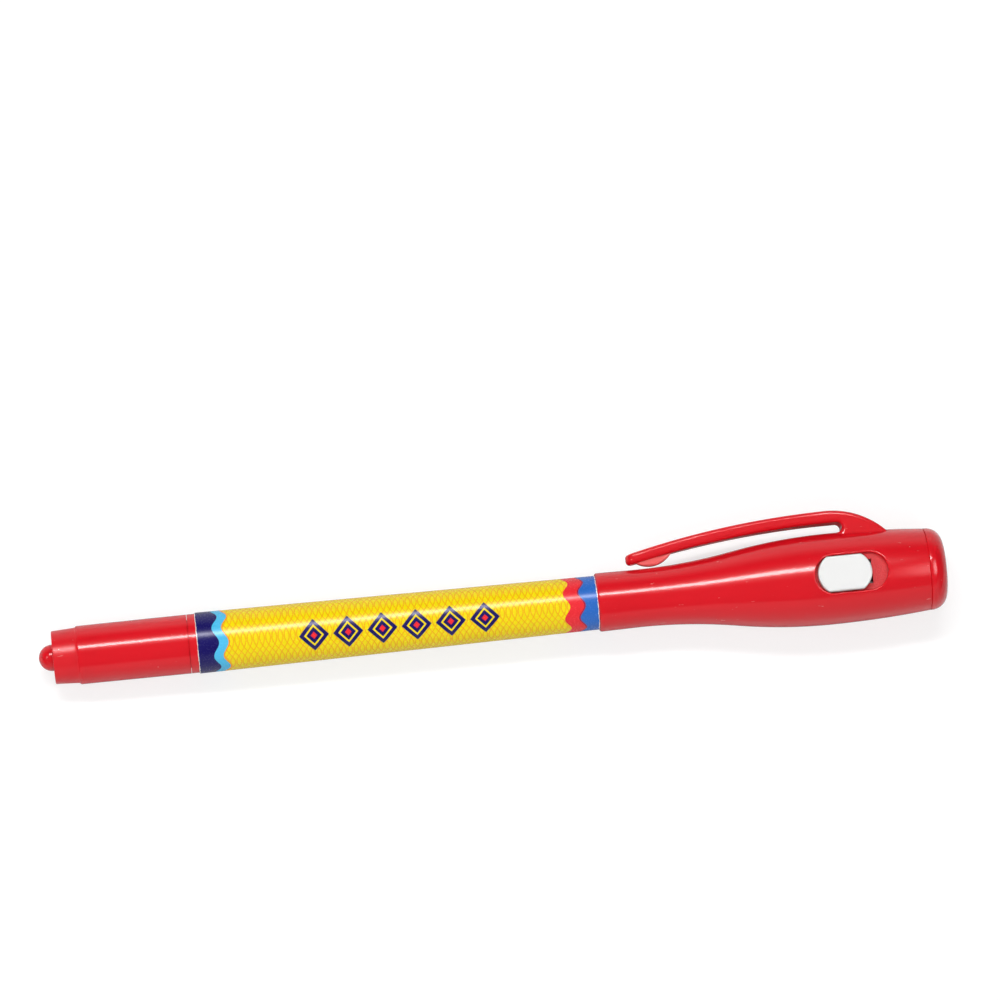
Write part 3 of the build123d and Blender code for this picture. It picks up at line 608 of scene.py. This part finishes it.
def bond_wire_shape(shape):
    """Thin loop from the chip's pad to the end of the anode lead."""
    sides = 10
    steps = 24
    post = (anode_low.y + anode_high.y) / 2
    start = Vector((cathode_high.x - cup_depth + pad_top, 0, 0))
    end = Vector((anode_high.x + wire_radius, post, 0))
    turns = [2 * pi * n / sides for n in range(sides)]
    rings = []
    for k in range(steps + 1):
        share = k / steps
        centre = start.lerp(end, share) + Vector((wire_crown * sin(pi * share), 0, 0))
        ahead = (end - start) / steps + Vector((wire_crown * pi * cos(pi * share) / steps, 0, 0))
        side = ahead.cross(Vector((0, 0, 1))).normalized()
        offsets = [side * cos(t) * wire_radius + Vector((0, 0, sin(t) * wire_radius)) for t in turns]
        rings.append([shape.verts.new(centre + offset) for offset in offsets])
    for low, high in zip(rings, rings[1:]):
        for n in range(sides):
            face = shape.faces.new((low[n], low[n - 1], high[n - 1], high[n]))
            face.smooth = True
    shape.faces.new(rings[0])
    shape.faces.new(rings[-1])


piece("led_chip", chip_shape, die)
piece("led_bond_wire", bond_wire_shape, gold)


# Head shell: the flared red moulding with the bowed pocket clip in one piece, pressed onto the
# barrel's spigot. The pocket for the switch was cut by spark erosion, so its floor is gritty.
# The bump under the clip's tip is a thin web, painted paler as painted light for the light it lets
# through.
pocket_floor = 5.23 * mm
pocket_half = 2.74 * mm
pocket_front = 61.05 * mm
pocket_rear = 71.78 * mm
floor_depth = 0.03 * mm
floor_box = (
    (pocket_front, -pocket_half, pocket_floor - floor_depth),
    (pocket_rear, pocket_half, pocket_floor + floor_depth),
)
bump_front = 34.8 * mm
bump_rear = 40.8 * mm
bump_low = 4.42 * mm
bump_high = 6.2 * mm
bump_half = 0.81 * mm
# Box where the web's paler colour is painted light.
bump_box = ((bump_front, bump_low, -bump_half), (bump_rear, bump_high, bump_half))
dress(red_abs("moulded_red_abs_head", eroded=floor_box, thin=bump_box), "head_shell")


# End bezel: a rounded ring moulded in the same red ABS and pressed into the head as far as its
# flange, which leaves a fine seam. It holds the lamp, which looks out through its middle.
dress(red_abs("moulded_red_abs_bezel"), "end_bezel")


# Switch slider: a white ABS button on a split stem that snaps through the pocket's slot.
# Its mould was left finely eroded, so the white is satin and shows no sharp highlight.
button = satin_plastic("white_abs", "#E3E3E2", "#DDDDDC", 0.16 * mm, 0.004 * mm, 0.42)
dress(button, "switch_slider")


# Floor: a sheet of white paper that the pen lies on, touching it under the head's flare and at
# the cap, so the sheet slopes a little in the pen's frame. Paper is matt with a soft grain.
floor_side = 3.0
floor_drop = 6.70 * mm
floor_touch = 63.6 * mm
floor_slope = 0.0219


def white_sheet(name):
    """Paper that shows as white to the camera and in reflections, with painted shade on its glow in
    reflections close under the pen.
    """
    grain_size = 3 * mm
    glow = 0.7
    painted_shade_reach = 10 * mm
    painted_shade_depth = 4.0
    material, tree, shader = new_material(name, Roughness=0.85, Specular_IOR_Level=0.2)
    shader.inputs["Emission Color"].default_value = linear("#FFFFFF")
    place = add(tree, "TexCoord", out="Object")
    grain = add(tree, "TexNoise", Vector=place, Scale=1 / grain_size, Detail=2.0)
    tint = add(tree, "Mix", rgba, out=2, _0=grain, _6=linear("#9E9E9E"), _7=linear("#A2A2A2"))
    camera_ray = add(tree, "LightPath", out="Is Camera Ray")
    through_ray = add(tree, "LightPath", out="Is Transmission Ray")
    seen = add(tree, "Math", {"operation": "MAXIMUM"}, _0=camera_ray, _1=through_ray)
    mirrored = add(tree, "LightPath", out="Is Glossy Ray")
    # Painted shade: an occlusion mask darkens the glow that reflections see where the pen stands close
    # over the sheet.
    open_share = add(tree, "AmbientOcclusion", out="AO", Distance=painted_shade_reach)
    open_share = add(tree, "Math", {"operation": "POWER"}, _0=open_share, _1=painted_shade_depth)
    mirrored = add(tree, "Math", {"operation": "MULTIPLY"}, _0=mirrored, _1=open_share)
    seen = add(tree, "Math", {"operation": "MAXIMUM"}, _0=seen, _1=mirrored)
    seen = add(tree, "Math", {"operation": "MULTIPLY"}, _0=seen, _1=glow)
    wire(tree, shader, Base_Color=tint, Emission_Strength=seen)
    return material


floor_mesh = bpy.data.meshes.new("floor")
half = floor_side / 2
corners = ((-half, -half), (half, -half), (half, half), (-half, half))
points = [(x, y, (floor_touch - x) * floor_slope - floor_drop) for x, y in corners]
floor_mesh.from_pydata(points, [], [(0, 1, 2, 3)])
floor = bpy.data.objects.new("floor", floor_mesh)
bpy.context.scene.collection.objects.link(floor)
floor_mesh.materials.append(white_sheet("white_paper_sweep"))


# Surroundings: white walls all round that stop short of a dim ceiling, the far one bright at
# its foot, and darker at both ends of the room. A veiled window high on the right is seen in
# reflections alone. Angles are from the zenith.
near_edge = radians(54.6)
near_feather = 0.012
near_wall = 0.92
far_top = radians(62)
far_foot = radians(92)
far_wall = 1.42
wall_feather = 0.08
end_from = 0.45
end_to = 0.8
end_share = 0.15
ceiling = 0.067
window_middle = Vector((0.455, -0.08, 0.885)).normalized()
window_flatness = 0.55
window_core = 0.06
window_rim = 0.27
window_light = 12.5
world = bpy.data.worlds.new("white_walls")
bpy.context.scene.world = world
world.use_nodes = True
sky = world.node_tree
direction = add(sky, "TexCoord", out="Generated")
aside = add(sky, "SeparateXYZ", out="X", Vector=direction)
across = add(sky, "SeparateXYZ", out="Y", Vector=direction)
height = add(sky, "SeparateXYZ", out="Z", Vector=direction)
near_from = cos(near_edge) - near_feather
near_to = cos(near_edge) + near_feather
limits = {"From_Min": near_from, "From_Max": near_to, "To_Min": near_wall, "To_Max": 0.0}
near = add(sky, "MapRange", Value=height, **limits)
limits = {"From_Min": cos(far_foot), "From_Max": cos(far_top), "To_Min": far_wall, "To_Max": 0.0}
far = add(sky, "MapRange", Value=height, **limits)
limits = {"From_Min": -wall_feather, "From_Max": wall_feather, "To_Min": near, "To_Max": far}
wall = add(sky, "MapRange", Value=across, **limits)
aside = add(sky, "Math", {"operation": "ABSOLUTE"}, _0=aside)
limits = {"From_Min": end_from, "From_Max": end_to, "To_Min": 1.0, "To_Max": end_share}
end_dim = add(sky, "MapRange", Value=aside, **limits)
walls = add(sky, "Math", {"operation": "MULTIPLY_ADD"}, _0=wall, _1=end_dim, _2=ceiling)
squeeze = Vector((1.0, window_flatness, 1.0))
flat = add(sky, "VectorMath", {"operation": "MULTIPLY"}, _0=direction, _1=squeeze)
middle = window_middle * squeeze
off = add(sky, "VectorMath", {"operation": "DISTANCE"}, out="Value", _0=flat, _1=middle)
veil = {"interpolation_type": "SMOOTHSTEP"}
limits = {"From_Min": window_core, "From_Max": window_rim, "To_Min": window_light, "To_Max": 0.0}
window = add(sky, "MapRange", veil, Value=off, **limits)
mirrored = add(sky, "LightPath", out="Is Glossy Ray")
daylight = add(sky, "Math", {"operation": "MULTIPLY_ADD"}, _0=window, _1=mirrored, _2=walls)
background = sky.nodes["Background"]
background.inputs["Color"].default_value = linear("#FFFFFF")
wire(sky, background, Strength=daylight)


# Lamps: a narrow strip overhead with a soft glow round it, whose sheen and spill are set apart,
# a short bar to the left and a wide weak fill above and in front. Places are in metres, and
# each light is a radiance.
strip_lean = radians(24.5)
strip_far = 0.92
strip_x = -0.06
strip_place = Vector((strip_x, strip_far * sin(strip_lean), strip_far * cos(strip_lean)))
strip_target = (strip_x, 0, 0)
strip_length = 0.55
strip_width = 0.155
strip_light = 32.0
spill_width = 0.10
spill_light = 29.0
glow_place = 1.02 * strip_place
glow_length = 0.62
glow_width = 0.45
glow_light = 0.8
bar_place = (-0.60, 0.0, 0.58)
bar_target = (-0.05, 0, 0)
bar_width = 0.06
bar_length = 0.40
bar_light = 13.0
fill_place = (0.0, -0.7, 1.35)
fill_side = 1.4
fill_light = 1.5


def lamp(name, place, target, size_x, size_y, radiance):
    """Flat lamp that faces a target, with its first size across the view from +Y."""
    light = bpy.data.lights.new(name, "AREA")
    light.shape = "RECTANGLE"
    light.size = size_x
    light.size_y = size_y
    light.energy = radiance * pi * size_x * size_y
    holder = bpy.data.objects.new(name, light)
    bpy.context.scene.collection.objects.link(holder)
    back = (Vector(place) - Vector(target)).normalized()
    side = Vector((0, 1, 0)).cross(back).normalized()
    turn = Matrix((side, back.cross(side), back)).transposed().to_4x4()
    holder.matrix_world = Matrix.Translation(place) @ turn
    return holder


strip = lamp("overhead_strip", strip_place, strip_target, strip_length, strip_width, strip_light)
strip.visible_diffuse = False
spill = lamp("strip_spill", strip_place, strip_target, strip_length, spill_width, spill_light)
spill.visible_glossy = False
lamp("strip_glow", glow_place, strip_target, glow_length, glow_width, glow_light)
lamp("left_bar", bar_place, bar_target, bar_width, bar_length, bar_light)
fill = lamp("overhead_fill", fill_place, (0, 0, 0), fill_side, fill_side, fill_light)
fill.visible_glossy = False


# Camera: almost straight above, turned so that the pen climbs to the right, with a long lens.
# Its place, target, roll and lens were fitted to the pen's outline.
eye = Vector((-28.992, -100.989, 924.342)) * mm
target = Vector((16.862, 16.476, 0.0)) * mm
roll = radians(6.097)
camera = bpy.data.cameras.new("camera")
camera.lens = 229.34
camera.sensor_width = 36.0
camera.clip_start = 0.05
camera.clip_end = 10.0
ahead = (target - eye).normalized()
right = ahead.cross(Vector((0, 1, 0))).normalized()
upright = right.cross(ahead)
upright = upright * cos(roll) + right * sin(roll)
right = ahead.cross(upright)
turn = Matrix((right, upright, -ahead)).transposed().to_4x4()
stand = bpy.data.objects.new("camera", camera)
bpy.context.scene.collection.objects.link(stand)
stand.matrix_world = Matrix.Translation(eye) @ turn
bpy.context.scene.camera = stand
bpy.context.scene.view_settings.view_transform = "Standard"
